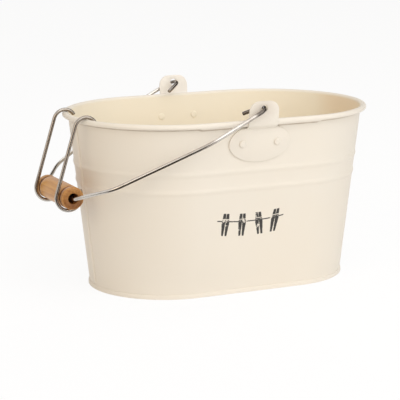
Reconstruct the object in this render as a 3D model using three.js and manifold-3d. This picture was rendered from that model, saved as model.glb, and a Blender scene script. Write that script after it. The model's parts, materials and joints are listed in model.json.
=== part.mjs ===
// Oval peg bucket: a seamed sheet-steel tub with a wired rim, a wire bail on two riveted
// ears, a turned wooden grip, and two wire hooks that hang the grip on the rim.
// Millimetres, +Z up. The origin is the middle of the resting face, the long sides run
// along X and the front faces -Y.

import * as THREE from 'three';
import { mergeVertices } from 'three/addons/utils/BufferGeometryUtils.js';
import Module from 'manifold-3d';

const wasm = await Module();
wasm.setup();

// Tub
const HEIGHT = 155;
const STRAIGHT = 100;           // straight run of each long side
const TOP_RADIUS = 86;          // round ends, outside of the sheet, at the rim
const BASE_RADIUS = 68.3;       // round ends, outside of the sheet, at the floor
const SHEET = 0.6;
const FIT_GAP = 0.3;            // clearance kept where two pieces touch
const BASE_SEAM = 3.8;          // height of the base's turned-up edge
const LOCK_SEAM = 6.5;          // width of the upright seams at both ends
const SEAM_MARGIN = 1;          // upright seams stop this far from the rim and the base

// Wired rim
const RIM_WIRE = 3.8;
const ROLL_WRAP = 295;          // degrees of sheet round the rim wire

// Ribs pressed outwards round the wall
const RIB_WIDTH = 7.2;
const RIB_PROUD = 1.1;
const RIB_PITCH = 15.8;
const RIB_TOP_RUN = 3;          // soft upper edge
const RIB_LOWER_RUN = 0.9;      // sharp lower edge
const RIB_BELOW_EAR = 4;        // from the ear's lowest point to the upper rib

// Ears
const EAR_SHEET = 1;
const LOBE_WIDTH = 58;
const LOBE_HEIGHT = 33;
const LOBE_DROP = 20.5;         // middle of the lobe below the rim
const TONGUE_WIDTH = 28;
const TONGUE_RISE = 16.3;       // top of the tongue above the rim
const TONGUE_CORNER = 9;
const FOLD_ANGLE = 60;          // degrees from upright, where the ear steps over the roll
const EYE_RISE = 10;            // eye above the rim
const EYE_PLAY = 2.7;           // eye's diameter over the bail wire's

// Ear rivets
const RIVET_SPACING = 33.4;
const RIVET_SHANK = 3.2;
const RIVET_HEAD = 6.4;
const RIVET_DOME = 1.6;

// Bail
const BAIL_WIRE = 3.3;
const BAIL_PLAY = 1.5;          // gap between an ear and the arm outside it
const ARM_STRAIGHT = 58;        // from the pivot to where an arm turns inwards
const ARM_BEND = 60;
const SHOULDER_RUN = 40.6;      // from the shoulder to the grip's line
const SHOULDER_ANGLE = 50;      // degrees between that run and the arm
const SHOULDER_BEND = 30;
const NECK_BEND = 5;
const TAIL_CLEAR = 1.8;         // gap between a tail and the roll's inner side
const TAIL_LENGTH = 13;
const TAIL_SPLAY = 32;          // degrees a tail points away from its arm

// Grip
const GRIP_LENGTH = 66;
const GRIP_DIAMETER = 19.8;
const GRIP_BORE = 9;
const GRIP_ROUND = 2.2;         // rounded end edges
const BORE_CHAMFER = 0.8;
const COLLAR = 8;               // from each end to the middle of a groove
const GROOVE_DEPTH = 1.5;

// Hooks
const HOOK_WIRE = 3.2;
const HOOK_BEND = 10;           // centre-line radius of the bend over the rim
const HOOK_SPAN = 60;           // between the centres of a hook's two bends
const HOOK_SLACK = 0.6;         // the lower bend is this much looser than the groove
const SLACK_ANGLE = 45;         // degrees above level, where the slack is taken up
const HOOK_LEAN = 15.9;         // degrees the shank leans towards the tub
const SEAT_LEAN = 9.7;          // degrees the upper bend hangs off plumb under the roll
const TIP_ANGLE = 30;           // degrees above level where the tip ends
const LOWER_END_ANGLE = 30;     // degrees above level where the lower bend ends

// Fineness of round shapes
const END_STEPS = 9;            // facets in a quarter of a round end
const ROLL_STEPS = 10;
const WIRE_SIDES = 10;
const BEND_STEP = 18;           // degrees for each step round a wire's bend
const TURNED_SIDES = 24;
const RIVET_SIDES = 14;
const CORNER_STEPS = 10;
const EDGE_STEPS = 3;           // facets in a dome or a rounded edge

const HALF_STRAIGHT = STRAIGHT / 2;
const WALL_SLOPE = (TOP_RADIUS - BASE_RADIUS) / HEIGHT;
const WALL_LEAN = Math.atan(WALL_SLOPE);
const REAR_TURN = Math.PI;

const radians = THREE.MathUtils.degToRad;
const flat = (x, y) => new THREE.Vector2(x, y);

// Radius of the sheet's middle at a height, without ribs
function wallMiddle(z) {
  return BASE_RADIUS - SHEET / 2 + WALL_SLOPE * z;
}

// Rolled rim: a circle of sheet round the rim wire, just outside the wall
const ROLL_MIDDLE = RIM_WIRE / 2 + FIT_GAP + SHEET / 2;
const ROLL_OUTSIDE = ROLL_MIDDLE + SHEET / 2;
const ROLL_HEIGHT = HEIGHT - ROLL_OUTSIDE;
const ROLL_START = ROLL_HEIGHT + ROLL_MIDDLE * Math.sin(WALL_LEAN);
const ROLL_RADIUS = wallMiddle(ROLL_START) + ROLL_MIDDLE * Math.cos(WALL_LEAN);

const LOBE_HEIGHT_MIDDLE = HEIGHT - LOBE_DROP;
const LOBE_BOTTOM = LOBE_HEIGHT_MIDDLE - LOBE_HEIGHT / 2;
const UPPER_RIB_TOP = LOBE_BOTTOM - RIB_BELOW_EAR;
const LOWER_RIB_TOP = UPPER_RIB_TOP - RIB_PITCH;

// Surfaces

// Closed solid through a row of outlines with equal numbers of points. A ring joins its
// last outline to its first, and any other solid is capped at both ends.
function loft(outlines, capOutline, ring = false) {
  const count = outlines[0].length;
  const positions = outlines.flat().flatMap((point) => point.toArray());
  const triangles = [];
  const spans = ring ? outlines.length : outlines.length - 1;
  for (let i = 0; i < spans; i += 1) {
    const here = i * count;
    const there = ((i + 1) % outlines.length) * count;
    for (let j = 0; j < count; j += 1) {
      const next = (j + 1) % count;
      triangles.push([here + j, there + j, there + next]);
      triangles.push([here + j, there + next, here + next]);
    }
  }
  if (!ring) {
    const last = (outlines.length - 1) * count;
    for (const [a, b, c] of capTriangles(capOutline)) {
      triangles.push([a, b, c]);
      triangles.push([last + a, last + c, last + b]);
    }
  }
  const geometry = new THREE.BufferGeometry();
  geometry.setAttribute('position', new THREE.Float32BufferAttribute(positions, 3));
  geometry.setIndex(facingOut(positions, triangles).flat());
  geometry.computeVertexNormals();
  return geometry;
}

// Triangles of a flat outline, each turning the same way as the outline
function capTriangles(outline) {
  const turn = Math.sign(THREE.ShapeUtils.area(outline));
  return THREE.ShapeUtils.triangulateShape(outline, []).map(([a, b, c]) => {
    const corner = [outline[a], outline[b], outline[c]];
    const same = Math.sign(THREE.ShapeUtils.area(corner)) === turn;
    return same ? [a, b, c] : [a, c, b];
  });
}

function facingOut(positions, triangles) {
  const corner = (index) => new THREE.Vector3().fromArray(positions, index * 3);
  let volume = 0;
  for (const [a, b, c] of triangles) {
    volume += corner(a).dot(corner(b).cross(corner(c)));
  }
  return volume > 0 ? triangles : triangles.map(([a, b, c]) => [a, c, b]);
}

// Outline of a bent sheet of even thickness, from the line through its middle. A shift
// moves the sheet sideways, to the right of the line's direction.
function sheetOutline(middle, thickness, shift = 0) {
  const normals = middle.map((point, i) => {
    const before = middle[Math.max(i - 1, 0)];
    const after = middle[Math.min(i + 1, middle.length - 1)];
    const ahead = after.clone().sub(point).normalize();
    const behind = point.clone().sub(before).normalize();
    const along = ahead.clone().add(behind).normalize();
    const side = flat(along.y, -along.x);
    const span = ahead.lengthSq() > 0 ? ahead : behind;
    return side.divideScalar(Math.abs(side.dot(flat(span.y, -span.x))));
  });
  const edge = (offset) => middle.map((point, i) => {
    return point.clone().addScaledVector(normals[i], offset);
  });
  return [...edge(shift + thickness / 2), ...edge(shift - thickness / 2).reverse()];
}

function arcPoints(centre, radius, from, to, steps) {
  return Array.from({ length: steps + 1 }, (_, i) => {
    const angle = radians(THREE.MathUtils.lerp(from, to, i / steps));
    return flat(centre.x + radius * Math.cos(angle), centre.y + radius * Math.sin(angle));
  });
}

function bendPoints(centre, radius, from, to) {
  const steps = Math.max(1, Math.ceil(Math.abs(to - from) / BEND_STEP));
  return arcPoints(centre, radius, from, to, steps);
}

// Round bend that replaces the corner of a bent wire
function bentCorner(before, corner, after, radius) {
  const back = before.clone().sub(corner).normalize();
  const ahead = after.clone().sub(corner).normalize();
  const half = Math.acos(back.dot(ahead)) / 2;
  const centre = back.clone().add(ahead).normalize();
  centre.multiplyScalar(radius / Math.sin(half)).add(corner);
  const run = radius / Math.tan(half);
  const start = corner.clone().addScaledVector(back, run).sub(centre);
  const finish = corner.clone().addScaledVector(ahead, run).sub(centre);
  const turn = Math.sign(start.cross(finish)) * (Math.PI - 2 * half);
  const from = THREE.MathUtils.radToDeg(start.angle());
  return bendPoints(centre, radius, from, from + THREE.MathUtils.radToDeg(turn));
}

// Round wire along a flat path, with a ring of points square to the path at each turn
function wireGeometry(path, across, diameter) {
  const circle = arcPoints(flat(0, 0), diameter / 2, 0, 360, WIRE_SIDES).slice(0, WIRE_SIDES);
  const rings = path.map((point, i) => {
    const ahead = path[Math.min(i + 1, path.length - 1)].clone().sub(point).normalize();
    const behind = point.clone().sub(path[Math.max(i - 1, 0)]).normalize();
    const along = ahead.clone().add(behind).normalize();
    const side = new THREE.Vector3().crossVectors(across, along).normalize();
    const span = ahead.lengthSq() > 0 ? ahead : behind;
    const square = new THREE.Vector3().crossVectors(across, span);
    side.divideScalar(side.dot(square));
    return circle.map((offset) => {
      const place = point.clone().addScaledVector(side, offset.x);
      return place.addScaledVector(across, offset.y);
    });
  });
  return loft(rings, circle);
}

// Joins and cuts

function toSolid(geometry) {
  const bare = geometry.clone();
  bare.deleteAttribute('normal');
  bare.deleteAttribute('uv');
  const merged = mergeVertices(bare);
  return new wasm.Manifold(new wasm.Mesh({
    numProp: 3,
    vertProperties: merged.getAttribute('position').array,
    triVerts: Uint32Array.from(merged.getIndex().array),
  }));
}

function toGeometry(solid) {
  const mesh = solid.getMesh();
  const geometry = new THREE.BufferGeometry();
  geometry.setAttribute('position', new THREE.BufferAttribute(mesh.vertProperties, 3));
  geometry.setIndex(new THREE.BufferAttribute(mesh.triVerts, 1));
  geometry.computeVertexNormals();
  return geometry;
}

// Finishes

const paint = { color: '#f1e7d4', roughness: 0.42, metalness: 0 };
const steel = { color: '#b8b3aa', roughness: 0.24, metalness: 1 };
const beech = { color: '#c48c58', roughness: 0.55, metalness: 0 };

const bucket = new THREE.Group();

function addPiece(name, geometry, finish, parent = bucket) {
  const piece = new THREE.Mesh(geometry, new THREE.MeshStandardMaterial(finish));
  piece.name = name;
  parent.add(piece);
  return piece;
}

// Plan of the tub: places round it, each with the centre of its bend and the direction
// that points straight out of the wall there.

function roundEnd(centreX, from, to, steps = END_STEPS) {
  return arcPoints(flat(0, 0), 1, from, to, steps).map((out) => ({ x: centreX, y: 0, out }));
}

function seamEdge(direction, y) {
  return { x: direction * HALF_STRAIGHT, y, out: flat(direction, 0) };
}

const frontRun = [
  seamEdge(-1, -FIT_GAP / 2),
  ...roundEnd(-HALF_STRAIGHT, 180, 270).slice(1),
  ...roundEnd(HALF_STRAIGHT, 270, 360).slice(0, -1),
  seamEdge(1, -FIT_GAP / 2),
];

const wholeRun = [
  ...roundEnd(-HALF_STRAIGHT, 180, 270),
  ...roundEnd(HALF_STRAIGHT, 270, 360),
  ...roundEnd(HALF_STRAIGHT, 0, 90).slice(1),
  ...roundEnd(-HALF_STRAIGHT, 90, 180).slice(0, -1),
];

function onPlan(place, radius, z) {
  return new THREE.Vector3(place.x + place.out.x * radius, place.y + place.out.y * radius, z);
}

function sweepRound(run, outline, ring = false) {
  const outlines = run.map((place) => outline.map((point) => onPlan(place, point.x, point.y)));
  return loft(outlines, outline, ring);
}

// Walls: two halves of sheet, each with both ribs and its share of the rolled rim

function ribLine(top) {
  const bottom = top - RIB_WIDTH;
  const onRib = (z, proud) => flat(wallMiddle(z) + proud, z);
  return [
    onRib(bottom, 0),
    onRib(bottom + RIB_LOWER_RUN, RIB_PROUD),
    onRib(top - RIB_TOP_RUN, RIB_PROUD),
    onRib(top, 0),
  ];
}

function wallLine(bottom, top) {
  return [
    flat(wallMiddle(bottom), bottom),
    ...ribLine(LOWER_RIB_TOP),
    ...ribLine(UPPER_RIB_TOP),
    flat(wallMiddle(top), top),
  ];
}

const wallBottom = SHEET + FIT_GAP;
const rollCentre = flat(ROLL_RADIUS, ROLL_HEIGHT);
const rollFrom = 180 - THREE.MathUtils.radToDeg(WALL_LEAN);
const rollLine = arcPoints(rollCentre, ROLL_MIDDLE, rollFrom, rollFrom - ROLL_WRAP, ROLL_STEPS);
const wallOutline = sheetOutline(
  [...wallLine(wallBottom, ROLL_START).slice(0, -1), ...rollLine],
  SHEET,
);

// Upright lock seam: the front half's edge is folded over the rear half's, so a band of
// sheet stands off the wall and is rooted in the front half alone.
function lockSeam(direction) {
  const seamLine = wallLine(
    BASE_SEAM + FIT_GAP + SEAM_MARGIN,
    ROLL_HEIGHT - ROLL_OUTSIDE - SEAM_MARGIN,
  );
  const standOff = SHEET + FIT_GAP;
  const band = sheetOutline(seamLine, SHEET, standOff);
  const root = sheetOutline(seamLine, standOff, standOff / 2);
  const edges = [seamEdge(direction, -LOCK_SEAM / 2), seamEdge(direction, LOCK_SEAM / 2)];
  const rootEdges = [edges[0], seamEdge(direction, -FIT_GAP)];
  return toSolid(sweepRound(edges, band)).add(toSolid(sweepRound(rootEdges, root)));
}

// The ears' and rivets' places are square to the leaning wall of the straight sides.

function rivetPlace(x) {
  const z = LOBE_HEIGHT_MIDDLE;
  return new THREE.Vector3(x, -wallMiddle(z), z);
}

function rivetHole(x) {
  const radius = RIVET_SHANK / 2 + FIT_GAP;
  const reach = RIVET_HEAD;
  const hole = new THREE.CylinderGeometry(radius, radius, reach, RIVET_SIDES);
  hole.rotateX(WALL_LEAN);
  const place = rivetPlace(x);
  hole.translate(place.x, place.y, place.z);
  return toSolid(hole);
}

const rivetXs = [-RIVET_SPACING / 2, RIVET_SPACING / 2];
const plainHalf = rivetXs.reduce(
  (solid, x) => solid.subtract(rivetHole(x)),
  toSolid(sweepRound(frontRun, wallOutline)),
);
const frontHalf = plainHalf.add(lockSeam(-1)).add(lockSeam(1));

addPiece('front_wall', toGeometry(frontHalf), paint);
addPiece('rear_wall', toGeometry(plainHalf), paint).rotation.z = REAR_TURN;

const rimWireSection = arcPoints(rollCentre, RIM_WIRE / 2, 0, 360, WIRE_SIDES);
addPiece('rim_wire', sweepRound(wholeRun, rimWireSection.slice(0, WIRE_SIDES), true), steel);

// Base: a flat plate under the walls' lower edges, turned up outside them

function baseGeometry() {
  const inside = (z) => wallMiddle(z) + SHEET / 2 + FIT_GAP;
  const outside = (z) => inside(z) + SHEET;
  const steps = [
    flat(outside(0), 0),
    flat(outside(BASE_SEAM), BASE_SEAM),
    flat(inside(BASE_SEAM), BASE_SEAM),
    flat(inside(SHEET), SHEET),
  ];
  const rings = steps.map((step) => wholeRun.map((place) => onPlan(place, step.x, step.y)));
  return loft(rings, rings[0].map((point) => flat(point.x, point.y)));
}

addPiece('base_plate', baseGeometry(), paint);

// Ears: a strip folded to step over the roll, trimmed to a lobe and a tongue

const EYE_DIAMETER = BAIL_WIRE + EYE_PLAY;
const EYE_HEIGHT = HEIGHT + EYE_RISE;
const TONGUE_TOP = HEIGHT + TONGUE_RISE;
const ROLL_TO_EAR = ROLL_OUTSIDE + FIT_GAP + EAR_SHEET / 2;

// Distance of the ear's middle from the tub's long middle line, where it lies on the wall
function lobeMiddle(z) {
  const standOff = SHEET / 2 + FIT_GAP + EAR_SHEET / 2;
  return wallMiddle(z) + standOff / Math.cos(WALL_LEAN);
}

// The same, where its tongue stands outside the roll with the lean of the wall
function tongueMiddle(z) {
  const standOff = ROLL_TO_EAR / Math.cos(WALL_LEAN);
  return ROLL_RADIUS + standOff + (z - ROLL_HEIGHT) * WALL_SLOPE;
}

// The ear's middle line keeps one distance from the roll's centre at its step and tongue
function earLine() {
  const fold = radians(FOLD_ANGLE);
  const reach = lobeMiddle(0) - ROLL_RADIUS;
  const rise = ROLL_TO_EAR - reach * Math.cos(fold) - ROLL_HEIGHT * Math.sin(fold);
  const foldHeight = rise / (WALL_SLOPE * Math.cos(fold) - Math.sin(fold));
  const halfFold = (fold - WALL_LEAN) / 2;
  const stepDrop = ROLL_TO_EAR / Math.cos(halfFold) * Math.sin(halfFold + WALL_LEAN);
  const stepHeight = ROLL_HEIGHT - stepDrop;
  const below = LOBE_BOTTOM - EAR_SHEET;
  const above = TONGUE_TOP + EAR_SHEET;
  return [
    flat(lobeMiddle(below), below),
    flat(lobeMiddle(foldHeight), foldHeight),
    flat(tongueMiddle(stepHeight), stepHeight),
    flat(tongueMiddle(above), above),
  ];
}

function earOutline() {
  const shoulder = Math.acos(TONGUE_WIDTH / LOBE_WIDTH);
  const half = TONGUE_WIDTH / 2;
  const corner = TONGUE_TOP - TONGUE_CORNER;
  const outline = new THREE.Shape();
  outline.absellipse(
    0,
    LOBE_HEIGHT_MIDDLE,
    LOBE_WIDTH / 2,
    LOBE_HEIGHT / 2,
    Math.PI - shoulder,
    shoulder,
  );
  outline.lineTo(half, corner);
  outline.absarc(half - TONGUE_CORNER, corner, TONGUE_CORNER, 0, Math.PI / 2);
  outline.absarc(TONGUE_CORNER - half, corner, TONGUE_CORNER, Math.PI / 2, Math.PI);
  const eye = new THREE.Path();
  eye.absarc(0, EYE_HEIGHT, EYE_DIAMETER / 2, 0, 2 * Math.PI, true);
  outline.holes.push(eye);
  return outline;
}

function earGeometry() {
  const up = new THREE.Vector3(0, 0, 1);
  const right = new THREE.Vector3(1, 0, 0);
  const out = new THREE.Vector3(0, -1, 0);
  const width = LOBE_WIDTH + EAR_SHEET;
  const strip = new THREE.ExtrudeGeometry(
    new THREE.Shape(sheetOutline(earLine(), EAR_SHEET)),
    { depth: width, bevelEnabled: false },
  );
  strip.applyMatrix4(new THREE.Matrix4().makeBasis(out, up, right.clone().negate()));
  strip.translate(width / 2, 0, 0);
  const trim = new THREE.ExtrudeGeometry(earOutline(), {
    depth: tongueMiddle(TONGUE_TOP) + EAR_SHEET,
    bevelEnabled: false,
    curveSegments: CORNER_STEPS,
  });
  trim.applyMatrix4(new THREE.Matrix4().makeBasis(right, up, out));
  const ear = toSolid(strip).intersect(toSolid(trim));
  return toGeometry(rivetXs.reduce((solid, x) => solid.subtract(rivetHole(x)), ear));
}

// Rivet: a domed head outside the ear and a flatter one inside the wall, on one shank.
// The profile's heights count outwards from the middle of the wall's sheet.
function rivetGeometry() {
  const shank = RIVET_SHANK / 2;
  const head = RIVET_HEAD / 2;
  const outerFace = SHEET / 2 + FIT_GAP + EAR_SHEET + FIT_GAP;
  const innerFace = SHEET / 2 + FIT_GAP;
  const dome = (face, height) => [
    ...arcPoints(flat(0, 0), 1, 0, 90, EDGE_STEPS).slice(0, -1)
      .map((point) => flat(head * point.x, -face - height * point.y)),
    flat(0, -face - height),
  ];
  const innerDome = dome(innerFace, RIVET_DOME / 2).map((point) => flat(point.x, -point.y));
  const profile = [
    ...dome(outerFace, RIVET_DOME).reverse(),
    flat(shank, -outerFace),
    flat(shank, innerFace),
    ...innerDome,
  ];
  return new THREE.LatheGeometry(profile, RIVET_SIDES);
}

const sides = [['front', 0], ['rear', REAR_TURN]];
for (const [side, turn] of sides) {
  const fittings = new THREE.Group();
  fittings.rotation.z = turn;
  bucket.add(fittings);
  addPiece(`${side}_ear`, earGeometry(), paint, fittings);
  for (const x of rivetXs) {
    const end = Math.cos(turn) * x < 0 ? 'left' : 'right';
    const rivet = addPiece(`${side}_${end}_rivet`, rivetGeometry(), paint, fittings);
    rivet.position.copy(rivetPlace(x));
    rivet.rotation.x = WALL_LEAN;
  }
}

// Grip and hooks hang on the rim, and that sets where the bail comes to rest.

const GRIP_HALF = GRIP_LENGTH / 2;
const GROOVE_RADIUS = GRIP_DIAMETER / 2 - GROOVE_DEPTH;
const HOOK_OFFSET = GRIP_HALF - COLLAR;
const LOWER_BEND = GROOVE_RADIUS + FIT_GAP + HOOK_WIRE / 2 + HOOK_SLACK;

// The roll where a hook crosses it, seen along Y
const crossingReach = Math.sqrt(ROLL_RADIUS ** 2 - HOOK_OFFSET ** 2);
const rollCrossing = flat(-HALF_STRAIGHT - crossingReach, ROLL_HEIGHT);
const seatDepth = HOOK_BEND - HOOK_WIRE / 2 - ROLL_OUTSIDE - FIT_GAP;
const plumb = flat(-Math.sin(radians(SEAT_LEAN)), -Math.cos(radians(SEAT_LEAN)));
const upperBendCentre = rollCrossing.clone().addScaledVector(plumb, seatDepth);

const shankUp = flat(Math.sin(radians(HOOK_LEAN)), Math.cos(radians(HOOK_LEAN)));
const shankSide = flat(-shankUp.y, shankUp.x);
const lowerBendCentre = upperBendCentre.clone()
  .addScaledVector(shankSide, HOOK_BEND - LOWER_BEND)
  .addScaledVector(shankUp, -HOOK_SPAN);
const [gripCentre] = arcPoints(lowerBendCentre, HOOK_SLACK, SLACK_ANGLE, SLACK_ANGLE, 1);

function hookGeometry() {
  const shankAngle = 180 - HOOK_LEAN;
  const path = [
    ...bendPoints(lowerBendCentre, LOWER_BEND, LOWER_END_ANGLE, shankAngle - 360),
    ...bendPoints(upperBendCentre, HOOK_BEND, shankAngle, TIP_ANGLE),
  ];
  const across = new THREE.Vector3(0, 1, 0);
  return wireGeometry(path.map((point) => new THREE.Vector3(point.x, 0, point.y)), across, HOOK_WIRE);
}

addPiece('front_hook', hookGeometry(), steel).position.y = -HOOK_OFFSET;
addPiece('rear_hook', hookGeometry(), steel).position.y = HOOK_OFFSET;

function gripGeometry() {
  const bore = GRIP_BORE / 2;
  const body = GRIP_DIAMETER / 2;
  const grooveHalf = HOOK_WIRE / 2 + FIT_GAP;
  const halfProfile = [
    flat(bore, GRIP_HALF - BORE_CHAMFER),
    flat(bore + BORE_CHAMFER, GRIP_HALF),
    ...arcPoints(flat(body - GRIP_ROUND, GRIP_HALF - GRIP_ROUND), GRIP_ROUND, 90, 0, EDGE_STEPS),
    flat(body, HOOK_OFFSET + grooveHalf),
    flat(GROOVE_RADIUS, HOOK_OFFSET + grooveHalf),
    flat(GROOVE_RADIUS, HOOK_OFFSET - grooveHalf),
    flat(body, HOOK_OFFSET - grooveHalf),
  ];
  const mirrored = halfProfile.map((point) => flat(point.x, -point.y));
  const profile = [...mirrored, ...halfProfile.reverse(), mirrored[0]];
  return new THREE.LatheGeometry(profile, TURNED_SIDES);
}

addPiece('grip', gripGeometry(), beech).position.set(gripCentre.x, 0, gripCentre.y);

// Bail: one wire in a plane through the two eyes and the grip's bore. It lies against the
// right of each eye.

const BAIL_HALF = tongueMiddle(TONGUE_TOP) + EAR_SHEET / 2 + BAIL_PLAY + BAIL_WIRE / 2;
const TAIL_HALF = ROLL_RADIUS - ROLL_OUTSIDE - TAIL_CLEAR - BAIL_WIRE / 2;
const TURN_RADIUS = (BAIL_HALF - TAIL_HALF) / 2;
const TURN_HALF = BAIL_HALF - TURN_RADIUS;

// The turn crosses the ear at a slant, so it takes up more of the eye than the wire is wide.
const slant = Math.asin((tongueMiddle(EYE_HEIGHT) - TURN_HALF) / TURN_RADIUS);
const slantRun = (EAR_SHEET + EYE_DIAMETER * WALL_SLOPE) / 2 * Math.tan(slant);
const eyeFill = BAIL_WIRE / 2 / Math.cos(slant) + slantRun;

const pivot = flat(EYE_DIAMETER / 2 - FIT_GAP - eyeFill, EYE_HEIGHT);
const arm = gripCentre.clone().sub(pivot);
const ARM_LENGTH = arm.length(); // the wire runs through the middle of the bore

// Half the bail from its tail to the grip's middle, as distances along the arm and across
function bailSide() {
  const turnCentre = flat(TURN_RADIUS * Math.cos(slant), TURN_HALF);
  const tailTurn = bendPoints(turnCentre, TURN_RADIUS, 270 - TAIL_SPLAY, 90);
  const tailAlong = flat(Math.cos(radians(TAIL_SPLAY)), -Math.sin(radians(TAIL_SPLAY)));
  const shoulder = radians(SHOULDER_ANGLE);
  const neckRun = NECK_BEND * Math.tan((Math.PI / 2 - shoulder) / 2);
  const neck = flat(ARM_LENGTH, GRIP_HALF + FIT_GAP + neckRun);
  const knee = neck.clone();
  knee.add(flat(-Math.cos(shoulder), Math.sin(shoulder)).multiplyScalar(SHOULDER_RUN));
  const turnIn = flat(ARM_STRAIGHT, BAIL_HALF);
  return [
    tailTurn[0].clone().addScaledVector(tailAlong, TAIL_LENGTH),
    ...tailTurn,
    ...bentCorner(flat(turnCentre.x, BAIL_HALF), turnIn, knee, ARM_BEND),
    ...bentCorner(turnIn, knee, neck, SHOULDER_BEND),
    ...bentCorner(knee, neck, flat(ARM_LENGTH, 0), NECK_BEND),
  ];
}

function bailGeometry() {
  const along = arm.clone().normalize();
  const place = (point, side) => new THREE.Vector3(
    pivot.x + along.x * point.x,
    side * point.y,
    pivot.y + along.y * point.x,
  );
  const front = bailSide().map((point) => place(point, -1));
  const rear = bailSide().map((point) => place(point, 1));
  const across = new THREE.Vector3(-along.y, 0, along.x);
  return wireGeometry([...front, ...rear.reverse()], across, BAIL_WIRE);
}

addPiece('bail_wire', bailGeometry(), steel);

export default bucket;
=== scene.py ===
"""Looks of an oval peg bucket: painted sheet steel, drawn wire and turned wood."""

import json
from functools import cache, reduce
from math import acos, asin, atan, atan2, ceil, copysign, cos, degrees, hypot, pi, radians, sin, tan

import bmesh
import bpy
from bpy.props import FloatProperty, FloatVectorProperty, IntProperty, PointerProperty
from bpy.types import Operator, Panel, PropertyGroup
from mathutils import Matrix, Vector


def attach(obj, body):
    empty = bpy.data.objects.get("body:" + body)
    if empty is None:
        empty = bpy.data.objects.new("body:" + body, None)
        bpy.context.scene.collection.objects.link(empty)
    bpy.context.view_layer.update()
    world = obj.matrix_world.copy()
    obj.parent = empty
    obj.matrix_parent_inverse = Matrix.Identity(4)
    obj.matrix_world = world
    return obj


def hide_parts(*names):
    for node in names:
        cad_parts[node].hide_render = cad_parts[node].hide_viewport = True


bl_info = {
    "name": "Peg bucket",
    "version": (1, 0, 0),
    "blender": (4, 5, 0),
    "location": "View3D > Sidebar > Peg bucket",
    "description": "Models and finishes an oval peg bucket with a wire bail and a wooden grip",
    "category": "Object",
}

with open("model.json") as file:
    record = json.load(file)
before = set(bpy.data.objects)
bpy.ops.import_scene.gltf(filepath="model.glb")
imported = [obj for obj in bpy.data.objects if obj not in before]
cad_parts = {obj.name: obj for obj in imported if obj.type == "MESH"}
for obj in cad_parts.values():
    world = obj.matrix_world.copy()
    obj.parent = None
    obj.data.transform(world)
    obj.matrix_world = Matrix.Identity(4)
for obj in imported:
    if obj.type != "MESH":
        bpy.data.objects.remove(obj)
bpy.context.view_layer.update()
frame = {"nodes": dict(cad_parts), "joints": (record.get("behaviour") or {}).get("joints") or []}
JOINTS = {joint["name"]: joint for joint in frame["joints"]}
PIVOT = Vector(JOINTS["bail_swing"]["pos_m"])
GRIP = Vector(JOINTS["grip_spin"]["pos_m"])
Y_AXIS = Vector((0, 1, 0))
Z_AXIS = Vector((0, 0, 1))

# Gap between pieces that touch
FIT_GAP = 0.0003

# Points closer than this are one
SAME_PLACE = 1e-6


# Settings

def number(name, default, description, **limits):
    return FloatProperty(name=name, description=description, default=default, **limits)


def length(name, default, description):
    return number(
        name, default, description, min=0, precision=5, subtype="DISTANCE", unit="LENGTH",
    )


def angle(name, default, description):
    return number(name, radians(default), description, subtype="ANGLE", unit="ROTATION")


def fraction(name, default, description):
    return number(name, default, description, min=0, max=1, subtype="FACTOR")


def colour(name, default, description):
    limits = {"size": 3, "min": 0, "max": 1, "subtype": "COLOR"}
    return FloatVectorProperty(name=name, description=description, default=default, **limits)


class TubSettings(PropertyGroup):
    height: length("Height", 0.155, "From the resting face to the top of the rim")
    straight: length("Straight run", 0.1, "Straight run of each long side")
    top_radius: length("Top radius", 0.086, "Round ends at the rim, outside the sheet")
    base_radius: length("Base radius", 0.0683, "Round ends at the floor, outside the sheet")
    sheet: length("Sheet", 0.0006, "Thickness of the walls and the base")
    roll: length("Roll", 0.0028, "Outside radius of the rolled rim")
    slim: fraction("Slim roll", 0.66, "Roll's lower half at the ends, as a share of the sides'")
    rib_width: length("Rib width", 0.0072, "Height of one pressed rib")
    rib_proud: length("Rib depth", 0.0007, "How far a rib stands out of the wall")
    upper_rib: length("Upper rib", 0.114, "Height of the upper rib's top edge")
    lower_rib: length("Lower rib", 0.0982, "Height of the lower rib's top edge")
    base_seam: length("Base seam", 0.0038, "Height of the base's turned-up edge")
    lock_seam: length("Lock seam", 0.0065, "Width of the upright seams at both ends")
    quarter_steps: IntProperty(
        name="Quarter steps", description="Facets in a quarter of a round end", default=30, min=6,
    )


class EarSettings(PropertyGroup):
    sheet: length("Ear sheet", 0.001, "Thickness of an ear")
    lobe_width: length("Lobe width", 0.058, "Width of the oval that lies on the wall")
    lobe_height: length("Lobe height", 0.033, "Height of that oval")
    lobe_level: length("Lobe level", 0.1345, "Height of the oval's middle")
    tongue_width: length("Tongue width", 0.028, "Width of the tongue above the rim")
    tongue_top: length("Tongue top", 0.1713, "Height of the tongue's top edge")
    tongue_corner: length("Tongue corner", 0.009, "Radius of the tongue's corners")
    fold: angle("Fold", 60, "Angle from upright where the ear steps over the roll")
    eye: length("Eye", 0.006, "Diameter of the eye")
    eye_level: length("Eye level", 0.165, "Height of the eye's middle")
    rivet_spacing: length("Rivet spacing", 0.0334, "Between an ear's two rivets")
    rivet_head: length("Rivet head", 0.0064, "Diameter of a rivet's head")
    rivet_shank: length("Rivet shank", 0.0032, "Diameter of a rivet between its heads")
    rivet_dome: length("Rivet dome", 0.0016, "Height of a rivet's outer head")


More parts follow.
